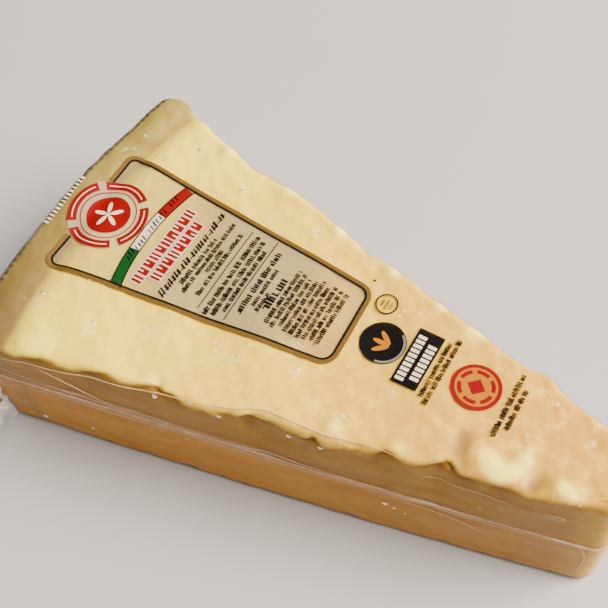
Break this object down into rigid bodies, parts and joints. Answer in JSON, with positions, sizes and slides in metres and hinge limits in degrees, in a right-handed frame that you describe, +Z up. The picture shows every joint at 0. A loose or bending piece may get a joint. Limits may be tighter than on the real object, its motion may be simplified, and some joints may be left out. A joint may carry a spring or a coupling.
{
  "type": "vacuum-packed parmesan wedge",
  "caption": "Flat wedge of parmesan with its rind, drawn tight in clear film that has a printed panel on top and a seam round its sides; it lies on its lower cut face.",
  "frame": {"origin": "on the floor, under the middle of the pack's bounding box", "axes": "+X from the rind to the tip, +Y to the side away from the loose film corner, +Z up"},
  "size_m": [0.1742, 0.1058, 0.044],
  "materials": {
    "film": "gloss",
    "paste": "satin",
    "rind": "matte",
    "print": "gloss"
  },
  "bodies": {
    "root": {"vacuum_packed_wedge": "film"}
  },
  "joints": []
}
